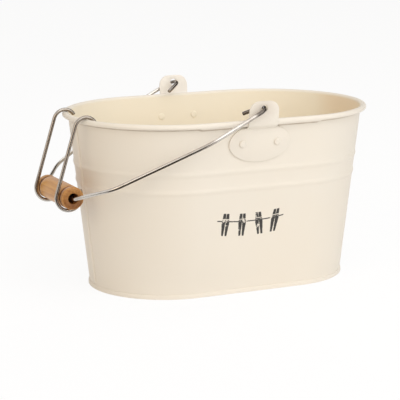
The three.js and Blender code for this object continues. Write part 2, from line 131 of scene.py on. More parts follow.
class BailSettings(PropertyGroup):
    wire: length("Bail wire", 0.0033, "Diameter of the bail's wire")
    play: length("Bail play", 0.0015, "Gap between an ear and the arm outside it")
    arm_straight: length("Arm", 0.058, "From the pivot to where an arm turns inwards")
    arm_bend: length("Arm bend", 0.06, "Radius of that turn")
    shoulder_run: length("Shoulder run", 0.0406, "From the shoulder to the grip's line")
    shoulder: angle("Shoulder", 50, "Angle between that run and the arm's direction")
    shoulder_bend: length("Shoulder bend", 0.03, "Radius of the shoulder's bend")
    neck_bend: length("Neck bend", 0.005, "Radius of the bend beside the grip")
    tail_clear: length("Tail gap", 0.0018, "Gap between a tail and the roll")
    tail: length("Tail", 0.013, "Straight length of a tail")
    splay: angle("Splay", 32, "Angle of a tail to its arm")


class GripSettings(PropertyGroup):
    span: length("Grip length", 0.066, "Length of the wooden grip")
    diameter: length("Grip diameter", 0.0198, "Diameter of the wooden grip")
    bore: length("Bore", 0.009, "Diameter of the hole for the wire")
    round: length("Rounding", 0.0022, "Radius of the end edges")
    collar: length("Collar", 0.008, "From an end to the middle of a groove")
    groove: length("Groove", 0.0015, "Depth of a groove")


class HookSettings(PropertyGroup):
    wire: length("Hook wire", 0.0032, "Diameter of a hook's wire")
    bend: length("Hook bend", 0.01, "Radius of the bend over the rim")
    span: length("Hook span", 0.06, "Between the middles of a hook's two bends")
    slack: length("Slack", 0.0006, "How much looser the lower bend is than the groove")
    slack_side: angle("Slack side", 45, "Angle above level where the slack is taken up")
    wear: length("Wear", 0.0005, "How much the lower bend has opened")
    drift: length("Drift", 0.0007, "How far the lower bend has moved off to the left")
    lean: angle("Hook lean", 15.9, "Lean of the shank towards the tub")
    tip: angle("Tip", 30, "Angle above level where the tip ends")
    lower_end: angle("Lower end", 30, "Angle above level where the lower bend ends")


class FinishSettings(PropertyGroup):
    cream: colour("Cream", (0.850, 0.797, 0.712), "Paint")
    warm_cream: colour("Warm cream", (0.850, 0.775, 0.660), "Paint where it has yellowed")
    # Painted light and shade inside the tub: a warmer cream for light bounced between the walls,
    # and a darker one for the shade inside the round ends
    inside_bounce_cream: colour("Inner cream", (0.915, 0.845, 0.70), "Paint inside the tub")
    end_shade_cream: colour("Deep cream", (0.87, 0.735, 0.56), "Paint inside the two ends")
    # Painted light: a paler cream on an ear's inner face, where more light falls
    lit_ear_cream: colour("Pale cream", (0.93, 0.895, 0.84), "Paint on the inner face of an ear")
    # Painted shade: a dark colour laid in the crease under the roll, where shade falls
    crease: colour("Crease", (0.36, 0.25, 0.17), "Grime in the crease under the roll")
    steel: colour("Steel", (0.62, 0.58, 0.53), "Bright wire")
    tarnish: colour("Tarnish", (0.38, 0.33, 0.28), "Dull streaks on the wire")
    # Painted dark reflection and shade: near-black for the wire at the eyes and tails
    dark_reflection_steel: colour("Blackened", (0.06, 0.045, 0.036), "Wire at the eyes")
    hook_steel: colour("Hook steel", (0.39, 0.345, 0.30), "Wire of the hooks")
    hook_tarnish: colour("Hook tarnish", (0.23, 0.19, 0.155), "Dull streaks on the hooks")
    beech: colour("Beech", (0.66, 0.34, 0.086), "Wood between the grain lines")
    grain: colour("Grain", (0.42, 0.165, 0.031), "Dark grain lines")
    rub_and_sheen: colour("Rubbed", (0.66, 0.575, 0.50), "Paint that the bail has rubbed")
    ink: colour("Ink", (0.014, 0.013, 0.013), "Printed motif")
    # Dark end grain, also used as painted shade in the grooves and on the ends' lower half
    end_grain_and_shade: colour("End grain", (0.18, 0.056, 0.012), "Wood on the ends and in the grooves")


class StageSettings(PropertyGroup):
    azimuth: angle("Azimuth", -25.94, "Camera's turn round the bucket")
    elevation: angle("Elevation", 11.39, "Camera's angle above level")
    distance: length("Distance", 1.5229, "From the camera to the bucket's middle")
    target: length("Target", 0.0772, "Height that the camera looks at")
    focal: number("Focal length", 151.8, "Lens, for a sensor 36 mm wide", unit="CAMERA")
    shift: FloatVectorProperty(
        name="Shift",
        description="Camera's shift to the right and up, as shares of the picture's width",
        default=(-0.0407, -0.0229),
        size=2,
    )
    floor: colour("Floor", (0.9, 0.9, 0.9), "Floor under the bucket")
    glow: fraction("Floor glow", 0.87, "Share of plain white in what the camera sees of the floor")
    ambient: colour("Ambient", (1, 0.955, 0.89), "Light from all round")
    daylight: number("Ambient strength", 0.5, "Strength of the light from all round", min=0)
    warm_lamp: colour("Warm lamp", (1, 0.785, 0.54), "Light from the left")
    cloth: colour("Cloth", (0.03, 0.02, 0.014), "Dark cards that the metal reflects")


SETTINGS = {
    "peg_bucket_tub": TubSettings,
    "peg_bucket_ear": EarSettings,
    "peg_bucket_bail": BailSettings,
    "peg_bucket_grip": GripSettings,
    "peg_bucket_hook": HookSettings,
    "peg_bucket_finish": FinishSettings,
    "peg_bucket_stage": StageSettings,
}


# Shapes that follow from the settings

class TubShape:
    """Lines of the tub's cross-section, as a radius and a height."""

    def __init__(self, sizes):
        self.sizes = sizes
        self.end = sizes.straight / 2
        self.slope = (sizes.top_radius - sizes.base_radius) / sizes.height
        self.lean = atan(self.slope)
        self.roll_middle = sizes.roll - sizes.sheet / 2
        self.roll_level = sizes.height - sizes.roll
        self.roll_start = self.roll_level + self.roll_middle * sin(self.lean)
        self.roll_radius = self.wall(self.roll_start) + self.roll_middle * cos(self.lean)

    def wall(self, z):
        return self.sizes.base_radius - self.sizes.sheet / 2 + self.slope * z

    def rib(self, top):
        """Points up a rib, which rises and falls softly."""
        bottom = top - self.sizes.rib_width
        lower_run, upper_run = 0.0033, 0.0037
        rise = [(bottom + part * lower_run, ease(part)) for part in (0, 0.2, 0.4, 0.6, 0.8, 1)]
        fall_parts = (1, 0.8, 0.65, 0.5, 0.35, 0.2, 0)
        fall = [(top - part * upper_run, ease(part)) for part in fall_parts]
        return [(self.wall(z) + self.sizes.rib_proud * proud, z) for z, proud in rise + fall]

    def upright(self, bottom, top):
        """Points up the wall from one height to another."""
        sizes = self.sizes
        below = (bottom + sizes.lower_rib - sizes.rib_width) / 2
        above = (sizes.upper_rib + top) / 2
        return [
            *[(self.wall(z), z) for z in (bottom, below)],
            *self.rib(sizes.lower_rib),
            *self.rib(sizes.upper_rib),
            *[(self.wall(z), z) for z in (above, top)],
        ]

    def roll(self, steps=26, wrap=295):
        """Points round the rolled rim, from the wall over the top and back under."""
        points = []
        for i in range(1, steps + 1):
            t = pi - self.lean - radians(wrap) * i / steps
            out = self.roll_radius + self.roll_middle * cos(t)
            points.append((out, self.roll_level + self.roll_middle * sin(t)))
        return points


class EarShape:
    """Where an ear's lobe, step and tongue lie outside the tub."""

    def __init__(self, sizes, tub):
        self.sizes = sizes
        self.tub = tub
        self.off_wall = tub.sizes.sheet / 2 + FIT_GAP + sizes.sheet / 2
        self.off_roll = tub.sizes.roll + FIT_GAP + sizes.sheet / 2
        up, out = cos(sizes.fold), sin(sizes.fold)
        reach = self.lobe(0) - tub.roll_radius
        rise = self.off_roll - reach * up - tub.roll_level * out
        self.fold_level = rise / (tub.slope * up - out)
        half = (sizes.fold - tub.lean) / 2
        drop = self.off_roll / cos(half) * sin(half + tub.lean)
        self.step_level = tub.roll_level - drop

    def lobe(self, z):
        return self.tub.wall(z) + self.off_wall / cos(self.tub.lean)

    def tongue(self, z):
        tub = self.tub
        at_roll = tub.roll_radius + self.off_roll / cos(tub.lean)
        return at_roll + (z - tub.roll_level) * tub.slope


def shapes():
    """The shapes of the tub and of an ear, from the scene's settings."""
    tub = TubShape(bpy.context.scene.peg_bucket_tub)
    return tub, EarShape(bpy.context.scene.peg_bucket_ear, tub)


def ease(share):
    return share * share * (3 - 2 * share)


def polar(t, radius=1):
    """Point in an upright plane along X, at an angle above level."""
    return Vector((radius * cos(t), 0, radius * sin(t)))


# Modelling by hand

def deselect():
    bpy.ops.object.select_all(action="DESELECT")


def only(piece):
    """Selects one piece and nothing else."""
    deselect()
    piece.select_set(True)
    bpy.context.view_layer.objects.active = piece


def named(name):
    piece = bpy.context.object
    piece.name = name
    piece.data.name = name
    return piece


def edit():
    bpy.ops.object.mode_set(mode="EDIT")


def leave_edit():
    bpy.ops.object.mode_set(mode="OBJECT")


def whole():
    """Selects all of the mesh that is being edited."""
    bpy.ops.mesh.select_all(action="SELECT")


def pick(piece, kind, test):
    """Selects the verts or edges that pass a test, and nothing else."""
    bpy.ops.mesh.select_all(action="DESELECT")
    bpy.ops.mesh.select_mode(type={"verts": "VERT", "edges": "EDGE"}[kind])
    mesh = bmesh.from_edit_mesh(piece.data)
    for element in getattr(mesh, kind):
        element.select_set(test(element))
    mesh.select_flush_mode()
    bmesh.update_edit_mesh(piece.data)


def draw_line(name, points):
    """A line of edges, drawn from point to point and left in edit mode."""
    deselect()
    bpy.ops.mesh.primitive_plane_add(size=0.001, location=points[0])
    piece = named(name)
    settle(piece)
    edit()
    bpy.ops.mesh.select_mode(type="VERT")
    whole()
    bpy.ops.mesh.merge(type="CENTER")
    for here, there in zip(points, points[1:]):
        bpy.ops.mesh.extrude_vertices_move(TRANSFORM_OT_translate={"value": there - here})
    return piece


def push(step):
    bpy.ops.mesh.extrude_region_move(TRANSFORM_OT_translate={"value": step})


def turn(about, axis, by, steps):
    """Spins what is selected; the operator's angle runs clockwise about its axis."""
    bpy.ops.mesh.spin(steps=steps, angle=-by, center=about, axis=axis, use_auto_merge=False)


def merge(within=SAME_PLACE):
    whole()
    bpy.ops.mesh.remove_doubles(threshold=within)


def done():
    """Merges doubles, turns the faces outwards and leaves edit mode."""
    merge()
    bpy.ops.mesh.normals_make_consistent(inside=False)
    leave_edit()


def modify(piece, kind, **values):
    """Adds a modifier and applies it."""
    bpy.context.view_layer.objects.active = piece
    modifier = piece.modifiers.new(kind.title(), kind)
    for key, value in values.items():
        setattr(modifier, key, value)
    bpy.ops.object.modifier_apply(modifier=modifier.name)


def soften(piece, width, segments=3, limit=40):
    """Rounds the sharp edges and merges the points that meet where a strip is narrow."""
    sharp = {"limit_method": "ANGLE", "angle_limit": radians(limit)}
    modify(piece, "BEVEL", width=width, segments=segments, harden_normals=False, **sharp)
    edit()
    merge(2 * SAME_PLACE)
    leave_edit()


def thicken(piece, sheet):
    modify(piece, "SOLIDIFY", thickness=sheet, offset=0, use_even_offset=True)


def smooth(piece, limit=35):
    only(piece)
    bpy.ops.object.shade_smooth_by_angle(angle=radians(limit))


def settle(piece):
    """Puts a piece's place and turn into its mesh."""
    only(piece)
    bpy.ops.object.transform_apply(location=True, rotation=True, scale=True)


def half_turned(piece, name):
    """A copy for the other side of the tub, turned half round."""
    only(piece)
    bpy.ops.object.duplicate()
    other = named(name)
    other.rotation_euler.z = pi
    settle(other)
    return other


def coat(piece, finish_name):
    piece.data.materials.clear()
    piece.data.materials.append(material(finish_name))


def finish(piece, body, slot, finish_name, *nodes):
    coat(piece, finish_name)
    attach(piece, body)
    if nodes:
        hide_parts(*nodes)


def finish_both(piece, other_name, finish_name, *nodes):
    """Finishes a piece of the bucket and its copy on the other side, with a node for each."""
    other = half_turned(piece, other_name)
    for i, side in enumerate((piece, other)):
        finish(side, "bucket", "paint", finish_name, *nodes[i:i + 1])


class Wire:
    """A round wire, bent and drawn on from one cut end to the other."""

    def __init__(self, name, diameter, place, along, sides=20):
        aim = along.to_track_quat("Z", "Y").to_euler()
        deselect()
        bpy.ops.mesh.primitive_circle_add(
            vertices=sides, radius=diameter / 2, fill_type="NGON", location=place, rotation=aim,
        )
        self.piece = named(name)
        self.diameter = diameter
        self.place = place
        settle(self.piece)
        edit()
        bpy.ops.mesh.select_mode(type="FACE")
        whole()

    def run(self, step):
        push(step)
        self.place = self.place + step

    def bend(self, about, axis, by, facet=6):
        """Bends the wire round a point, in facets of so many degrees."""
        turn(about, axis, by, max(2, ceil(abs(degrees(by)) / facet)))
        self.place = about + Matrix.Rotation(by, 3, axis) @ (self.place - about)

    def cut(self):
        """Ends the wire, with both cut ends slightly rounded."""
        done()
        soften(self.piece, width=self.diameter * 0.16, limit=50)
        smooth(self.piece)
        return self.piece


# Finishes

class Signal:
    """A shader value that can be used in sums."""

    def __init__(self, recipe, socket):
        self.recipe = recipe
        self.socket = socket

    def math(self, operation, *values):
        inputs = dict(enumerate(values))
        return self.recipe.add("ShaderNodeMath", {"operation": operation}, inputs)

    def __add__(self, other):
        return self.math("ADD", self, other)

    def __sub__(self, other):
        return self.math("SUBTRACT", self, other)

    def __rsub__(self, other):
        return self.math("SUBTRACT", other, self)

    def __mul__(self, other):
        return self.math("MULTIPLY", self, other)

    def __pow__(self, other):
        return self.math("POWER", self, other)

    def __abs__(self):
        return self.math("ABSOLUTE", self)

    __radd__ = __add__
    __rmul__ = __mul__

    def most(self, *others):
        """The largest of this value and others."""
        return reduce(lambda one, other: one.math("MAXIMUM", one, other), others, self)

    def least(self, other):
        return self.math("MINIMUM", self, other)

    def between(self, low, high):
        """0 below one value, 1 above another, and smooth between."""
        return self.recipe.add(
            "ShaderNodeMapRange",
            {"interpolation_type": "SMOOTHSTEP"},
            {"Value": self, "From Min": low, "From Max": high},
        )


class Nodes:
    """A node tree that is built one node at a time."""

    def __init__(self, owner):
        owner.use_nodes = True
        self.tree = owner.node_tree

    def add(self, kind, settings=None, sockets=None, output=0):
        node = self.tree.nodes.new(kind)
        for key, value in (settings or {}).items():
            setattr(node, key, value)
        for key, value in (sockets or {}).items():
            self.feed(node.inputs[key], value)
        return Signal(self, node.outputs[output])

    def feed(self, socket, value):
        if isinstance(value, Signal):
            self.tree.links.new(value.socket, socket)
        else:
            socket.default_value = value

    def parts(self, vector):
        """The three numbers of a vector."""
        first = self.add("ShaderNodeSeparateXYZ", sockets={0: vector})
        return [Signal(self, socket) for socket in first.socket.node.outputs]

    def blend(self, share, first, second):
        """Colour from one to another."""
        return self.add(
            "ShaderNodeMix",
            {"data_type": "RGBA"},
            {"Factor": share, 6: rgba(first), 7: rgba(second)},
            output=2,
        )

    def seen(self):
        """1 for what the camera sees, also in a mirror or through glass, and 0 for light."""
        kinds = ("Is Camera Ray", "Is Glossy Ray", "Is Transmission Ray")
        path = self.add("ShaderNodeLightPath").socket.node.outputs
        straight, mirrored, through = [Signal(self, path[kind]) for kind in kinds]
        return (straight + mirrored + through).least(1)


class Recipe(Nodes):
    """A material built from nodes round one shader."""

    def __init__(self, name, **constants):
        self.material = bpy.data.materials.new(name)
        super().__init__(self.material)
        self.shader = self.tree.nodes["Principled BSDF"]
        self.set(**constants)
        self.place = self.add("ShaderNodeTexCoord", output="Object")

    def xyz(self):
        return self.parts(self.place)

    def noise(self, scale, detail, roughness, stretch=None):
        place = self.place
        if stretch:
            place = self.add("ShaderNodeMapping", sockets={"Vector": place, "Scale": stretch})
        return self.add(
            "ShaderNodeTexNoise",
            sockets={"Vector": place, "Scale": scale, "Detail": detail, "Roughness": roughness},
        )

    def bump(self, height, distance, strength):
        normal = self.add(
            "ShaderNodeBump",
            sockets={"Height": height, "Distance": distance, "Strength": strength},
        )
        self.feed(self.shader.inputs["Normal"], normal)

    def set(self, **inputs):
        for key, value in inputs.items():
            name = key.replace("_", " ").title().replace("Ior", "IOR")
            self.feed(self.shader.inputs[name], value)
        return self.material


def rgba(value):
    return value if isinstance(value, Signal) else (*value, 1)


def enamel(name, look):
    """Cream enamel: slightly uneven in tone, with a fine orange-peel surface."""
    paint = Recipe(name, ior=1.5)
    cloud = paint.noise(9, 4, 0.55)
    flecks = paint.noise(240, 2, 0.6)
    tone = paint.blend(cloud.between(0.35, 0.75) * 0.4, look.cream, look.warm_cream)
    peel = paint.noise(700, 2, 0.5)
    ripple = paint.noise(30, 2, 0.5)
    paint.bump(peel * 0.25 + ripple, distance=0.00012, strength=0.6)
    paint.set(roughness=0.42 + cloud * 0.12 + flecks * 0.05)
    return paint, tone


def paint_finish(look):
    """The enamel of ears, seams and base, rubbed grey outside the eyes, with painted light making
    the ears' inner faces paler above the rim.
    """
    paint, tone = enamel("cream_enamel", look)
    tub, ear = shapes()
    eye_level = ear.sizes.eye_level
    rub_fade, uneven, rub_share, skin = (0.006, 0.02), 0.008, 0.42, 0.0003
    x, y, z = paint.xyz()
    up = z - eye_level
    away = (x * x + up ** 2) ** 0.5 + paint.noise(130, 3, 0.6) * uneven
    outward = abs(y) - up * tub.slope - ear.tongue(eye_level)
    rub = (1 - away.between(*rub_fade)) * outward.between(0, skin) * rub_share
    # Painted light: the ears' inner faces above the rim are made paler
    inside = z.between(tub.roll_level, tub.sizes.height) * (1 - outward.between(-skin, 0))
    tone = paint.blend(inside, tone, look.lit_ear_cream)
    return paint.set(base_color=paint.blend(rub, tone, look.rub_and_sheen))


def wall_finish(look):
    """The same enamel, printed in front, with painted light and shade: warmer inside the tub,
    darker inside the round ends and shaded under the roll.
    """
    paint, tone = enamel("wall_enamel", look)
    tub, ear = shapes()
    rim_fade = (tub.roll_level - 0.0005, tub.roll_level + 0.0026)
    end_fade, front_fade, turn_fade = (0.122, 0.134), (-0.065, -0.06), (-0.002, 0.002)
    x, y, z = paint.xyz()
    nx, ny, _ = paint.parts(paint.add("ShaderNodeNewGeometry", output="Normal"))
    facing = nx * (x - x.most(-tub.end).least(tub.end)) + ny * y
    inside = (1 - facing.between(*turn_fade)) * (1 - z.between(*rim_fade))
    # Painted shade: darker, warmer paint inside both round ends
    inner = paint.blend(abs(x).between(*end_fade), look.inside_bounce_cream, look.end_shade_cream)
    tone = paint.blend(inside, tone, inner)
    # Painted shade in the crease under the roll, on the outside only
    roll_shade = painted_crease_shade(paint, tub, ear, x, z) * (1 - inside)
    tone = paint.blend(roll_shade, tone, look.crease)
    printed = peg_print(paint, x, z) * (1 - inside) * (1 - y.between(*front_fade))
    return paint.set(base_color=paint.blend(printed, tone, look.ink))


def painted_crease_shade(paint, tub, ear, x, z):
    """Uneven painted shade under the roll, higher at the round ends and none behind the ears."""
    drop, end_rise, off_middle = 0.0034, 0.001, 0.003
    end_fade, ear_fade = (tub.end + 0.0046, tub.end + 0.0092), (0.003, 0.0038)
    low_fade, high_fade = (-0.0013, -0.0003), (0.0005, 0.0009)
    least_share, uneven_share = 0.35, 0.3
    over = z - (tub.roll_level - drop + end_rise * abs(x).between(*end_fade))
    band = over.between(*low_fade) * (1 - over.between(*high_fade))
    beside_ear = (abs(x + off_middle) - ear.sizes.tongue_width / 2).between(*ear_fade)
    patchiness = paint.noise(60, 3, 0.6).between(0.2, 0.8)
    return band * beside_ear * (least_share + uneven_share * patchiness)


def peg_print(paint, x, z):
    """Worn print of four spring pegs on a line, in millimetres about the print's middle."""
    mm, left_by, level, half_width, pitch = 1000, 4, 62, 32, 16
    line_level, line_sag, line_half = 3, 0.0025, 0.5
    peg_top, peg_foot, peg_half, waist, taper = 7, 13, 3.6, 2, 0.1
    spring_level, spring_half, spring_hole, jaw, opening = 1.2, 1.1, 0.5, 1.6, 0.05
    tilt_most, tilt_step, tilt_first = 0.16, 2.3, 0.6
    ragged, blur, worn_share, ink_share = 0.8, 0.15, 0.85, 0.97
    u = x * mm + left_by
    up = z * mm - level - (line_level + u * u * line_sag)
    cell = u.math("FLOOR", (u + half_width) * (1 / pitch))
    tilt = u.math("SINE", cell * tilt_step + tilt_first) * tilt_most
    off = abs(u + half_width - cell * pitch - pitch / 2 - up * tilt)
    high = abs(up - spring_level)
    body = (off - (peg_half - abs(up + waist) * taper)).most(up - peg_top, -peg_foot - up)
    split = (off - high * opening).most(jaw - high)
    spring = (high - spring_half).most(spring_hole - high)
    peg = body.most(0 - split, 0 - spring)
    edge = peg.least(abs(up) - line_half) + paint.noise(900, 3, 0.6) * ragged - ragged / 2
    drawn = 1 - edge.most(abs(u) - half_width).between(-blur, blur)
    worn = paint.noise(220, 3, 0.55).between(0.6, 0.66)
    return drawn * (1 - worn * worn_share) * ink_share


def drawn_wire(name, bright, tarnish, rough):
    """Drawn wire with faint dull streaks."""
    steel = Recipe(name, metallic=1)
    streak = steel.noise(40, 4, 0.6)
    fine = steel.noise(900, 2, 0.5)
    dull = streak.between(0.45, 0.75)
    steel.bump(fine, distance=0.00003, strength=0.4)
    tone = steel.blend(dull, bright, tarnish)
    steel.set(base_color=tone, roughness=rough + dull * 0.08 + fine * 0.05)
    return steel, tone


def steel_finish(look):
    """The bail's wire, with painted dark reflection and shade on its tails and where it turns in
    the eyes, more on the front side.
    """
    steel, tone = drawn_wire("bright_wire", look.steel, look.tarnish, rough=0.17)
    _, ear = shapes()
    tongue = ear.tongue(ear.sizes.eye_level)
    tongue_fade = (tongue - 0.001, tongue + 0.001)
    tail_fade, bend_fade, side_fade = (0.02, 0.03), (0.009, 0.014), (-0.01, 0.01)
    front_share, rear_loss = 0.85, 0.35
    x, y, z = steel.xyz()
    away = ((x - PIVOT.x) ** 2 + (z - PIVOT.z) ** 2) ** 0.5
    tail = (1 - abs(y).between(*tongue_fade)) * (1 - away.between(*tail_fade))
    bend = 1 - away.between(*bend_fade)
    # Painted dark reflection and shade, stronger on the front side
    black = bend.most(tail) * (front_share - rear_loss * y.between(*side_fade))
    return steel.set(base_color=steel.blend(black, tone, look.dark_reflection_steel))


def hook_finish(look):
    """Dull wire, painted bright below the grip's middle as a painted reflection on the lower bends.
    """
    steel, tone = drawn_wire("dull_wire", look.hook_steel, look.hook_tarnish, rough=0.2)
    height_fade = (-0.006, 0.006)
    _, _, z = steel.xyz()
    # Painted reflection: the wire below the grip's middle takes the bright steel colour
    rub_and_sheen = 1 - (z - GRIP.z).between(*height_fade)
    return steel.set(base_color=steel.blend(rub_and_sheen, tone, look.steel))


def wood_finish(look):
    """Turned beech: grain along the grip, darker end grain on its ends, and painted shade in its
    grooves and on the lower half of its ends.
    """
    wood = Recipe("turned_beech", ior=1.45, coat_roughness=0.25)
    grip = bpy.context.scene.peg_bucket_grip
    pith_x, pith_z = 0.009, 0.014
    centred = wood.add(
        "ShaderNodeMapping",
        sockets={"Vector": wood.place, "Location": (pith_x - GRIP.x, 0, pith_z - GRIP.z)},
    )
    rings = wood.add(
        "ShaderNodeTexWave",
        {"wave_type": "RINGS", "rings_direction": "Y", "wave_profile": "SAW"},
        {"Vector": centred, "Scale": 70, "Distortion": 2.2, "Detail": 2, "Detail Scale": 1.2},
        output="Fac",
    )
    fibre = wood.noise(420, 3, 0.6, stretch=(1, 0.06, 1))
    cloud = wood.noise(45, 3, 0.5, stretch=(1, 0.35, 1))
    lines = (
        rings.between(0.3, 1) * 0.35
        + fibre.between(0.45, 0.72) * 0.4
        + cloud.between(0.35, 0.7) * 0.35
    )
    tone = wood.blend(lines, look.beech, look.grain)
    end, groove = grip.span / 2, grip.span / 2 - grip.collar
    face_fade, depth_fade = (end - 0.0009, end - 0.0001), (-0.0011, -0.0002)
    low_fade, collar_fade = (-0.009, 0.008), (groove, groove + 0.004)
    groove_share, collar_share = 0.95, 0.15
    face_share, low_share, mottle_share = 0.3, 0.35, 0.35
    x, y, z = wood.xyz()
    along, high = abs(y), z - GRIP.z
    depth = ((x - GRIP.x) ** 2 + high ** 2) ** 0.5 - grip.diameter / 2
    face = along.between(*face_fade)
    # Painted shade: the grooves are darkened where shade falls
    hollow = (1 - depth.between(*depth_fade)) * (1 - face) * groove_share
    # Painted shade: the ends darken towards their lower half
    low = 1 - high.between(*low_fade)
    mottle = wood.noise(700, 3, 0.6).between(0.3, 0.7)
    end_dark = face * (face_share + low * low_share + mottle * mottle_share)
    dark = hollow.most(end_dark, along.between(*collar_fade) * collar_share)
    wood.bump(fibre * 0.6 + rings * 0.3, distance=0.0001, strength=0.6)
    return wood.set(
        base_color=wood.blend(dark, tone, look.end_grain_and_shade),
        roughness=0.38 + fibre * 0.2,
        coat_weight=0.35 - face * 0.25,
    )


FINISHES = {
    "paint": paint_finish,
    "wall": wall_finish,
    "steel": steel_finish,
    "hook": hook_finish,
    "wood": wood_finish,
}


@cache
def material(name):
    """One of the finishes, made when it is first asked for."""
    return FINISHES[name](bpy.context.scene.peg_bucket_finish)


# Pieces

class PEGBUCKET_OT_walls(Operator):
    """Sweep both halves of the wall round the oval, with ribs, rolled rim and end seams"""

    bl_idname = "peg_bucket.walls"
    bl_label = "Walls"

    def execute(self, context):
        shape, _ = shapes()
        tub = shape.sizes
        line = shape.upright(tub.sheet + FIT_GAP, shape.roll_start) + shape.roll()
        half = draw_line(
            "front_wall_sheet",
            [Vector((-shape.end - radius, -FIT_GAP / 2, z)) for radius, z in line],
        )
        whole()
        turn((-shape.end, 0, 0), Z_AXIS, pi / 2, tub.quarter_steps)
        knee, runs = 0.006, 8
        middle = (tub.straight - 2 * knee) / runs
        for run in [knee, *[middle] * runs, knee]:
            push((run, 0, 0))
        turn((shape.end, 0, 0), Z_AXIS, pi / 2, tub.quarter_steps)
        self.slim_ends(half, shape)
        done()
        thicken(half, tub.sheet)
        smooth(half)
        finish_both(half, "rear_wall_sheet", "wall", "front_wall", "rear_wall")
        finish_both(self.lock_seam(shape), "right_lock_seam", "paint")
        coat(frame["nodes"]["rim_wire"], "steel")
        return {"FINISHED"}

    def slim_ends(self, half, shape):
        """Draws the roll's underside closer at the round ends than along the side."""
        tub = shape.sizes
        off_side = 0.007
        low = shape.roll_level - shape.roll_middle - FIT_GAP

        def under_roll(vertex):
            x, y, z = vertex.co
            out = hypot(max(abs(x) - shape.end, 0), y) - shape.wall(z)
            at_end = abs(x) > shape.end + off_side
            return at_end and low < z < shape.roll_level - SAME_PLACE and out > tub.sheet

        pick(half, "verts", under_roll)
        bpy.ops.transform.resize(value=(1, 1, tub.slim), center_override=(0, 0, shape.roll_level))

    def lock_seam(self, shape):
        """A folded band that stands off the wall and closes down to it at its edges."""
        tub = shape.sizes
        lower_gap, upper_gap, edge, foot = 0.001, 0.0002, 0.0017, tub.sheet * 0.6
        bottom = tub.base_seam + FIT_GAP + lower_gap
        top = shape.roll_level - tub.roll - upper_gap
        line = shape.upright(bottom, top)
        band = draw_line(
            "left_lock_seam",
            [Vector((-shape.end - radius - foot, -tub.lock_seam / 2, z)) for radius, z in line],
        )
        whole()
        lift, flat = tub.sheet, (tub.lock_seam - 2 * edge) / 2
        for step in [(-lift, edge, 0), (0, flat, 0), (0, flat, 0), (lift, edge, 0)]:
            push(step)
        done()
        thicken(band, tub.sheet)
        soften(band, width=0.0004, limit=12)
        smooth(band)
        return band


class PEGBUCKET_OT_base(Operator):
    """Press the base as a shallow oval tray round the walls' lower edges"""

    bl_idname = "peg_bucket.base"
    bl_label = "Base"

    def execute(self, context):
        shape, _ = shapes()
        tub = shape.sizes
        outside = shape.wall(tub.base_seam) + tub.sheet / 2 + FIT_GAP + tub.sheet
        sides = tub.quarter_steps * 4 + 2
        deselect()
        bpy.ops.mesh.primitive_circle_add(vertices=sides, radius=outside, fill_type="NGON")
        tray = named("base_tray")
        settle(tray)
        edit()
        for side in (-1, 1):
            pick(tray, "verts", lambda vertex, side=side: vertex.co.x * side > SAME_PLACE)
            bpy.ops.transform.translate(value=(side * shape.end, 0, 0))
        bpy.ops.mesh.select_mode(type="FACE")
        whole()
        bead, foot = tub.base_seam * 0.55, FIT_GAP * 0.9
        push((0, 0, bead))
        bpy.ops.mesh.inset(thickness=tub.sheet, depth=tub.base_seam - bead)
        bpy.ops.mesh.inset(thickness=foot)
        push((0, 0, tub.sheet - tub.base_seam))
        done()
        soften(tray, width=0.0005, segments=4, limit=20)
        smooth(tray)
        finish(tray, "bucket", "paint", "paint", "base_plate")
        return {"FINISHED"}


